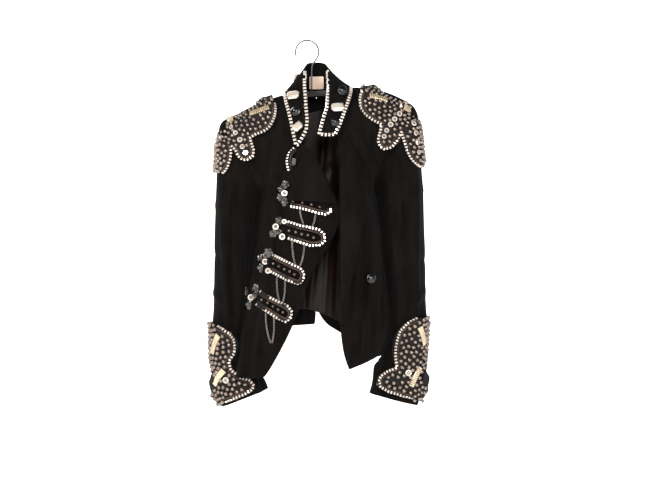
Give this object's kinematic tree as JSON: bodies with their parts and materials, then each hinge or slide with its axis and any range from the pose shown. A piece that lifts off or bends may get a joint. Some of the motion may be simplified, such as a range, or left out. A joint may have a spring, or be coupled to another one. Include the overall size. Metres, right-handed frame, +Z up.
{
  "type": "military jacket on a hanger",
  "caption": "Black wool military jacket with beaded shoulders, cuffs and frogging, hung open on a slim hanger.",
  "frame": {"origin": "hang point, the underside of the hook's crown where the rail sits", "axes": "+Z up, -Y out of the front of the jacket, +X towards the wearer's left"},
  "size_m": [0.4684, 0.1815, 0.7382],
  "materials": {
    "black_wool": "matt milled wool",
    "lining_satin": "satin",
    "bead_ground": "beaded",
    "bronze_bead": "metallic pearl",
    "gold_bar": "polished",
    "crystal": "cut and foiled",
    "sequin": "dark sequins",
    "jet": "polished",
    "chain_metal": "plated links",
    "label_weave": "bare woven label",
    "flocked_velvet": "flocked",
    "chromed_wire": "polished"
  },
  "bodies": {
    "root": {"front_right": "black_wool", "front_left": "black_wool", "back_right": "black_wool", "back_left": "black_wool", "sleeve_right": "black_wool", "sleeve_left": "black_wool", "collar": "black_wool", "shoulder_patch_right": "bead_ground", "shoulder_patch_left": "bead_ground", "cuff_patch_right": "bead_ground", "cuff_patch_left": "bead_ground", "lapel_right": "black_wool", "lapel_left": "black_wool", "frog_0": "bead_ground", "frog_1": "bead_ground", "frog_2": "bead_ground", "frog_3": "bead_ground", "frog_4": "bead_ground", "stone_1": "crystal", "stone_2": "crystal", "stone_3": "crystal", "collar_button_1": "jet", "collar_button_2": "jet", "collar_button_3": "jet", "front_button": "jet", "rosette_1": "sequin", "rosette_2": "sequin", "rosette_3": "sequin", "rosette_4": "sequin", "chain_1": "chain_metal", "chain_2": "chain_metal", "chain_3": "chain_metal", "chain_4": "chain_metal", "chain_5": "chain_metal", "chain_6": "chain_metal", "chain_7": "chain_metal", "chain_8": "chain_metal", "back_lining": "lining_satin", "neck_label": "label_weave", "hanger_bar": "flocked_velvet", "hanger_hook": "chromed_wire"}
  },
  "joints": []
}
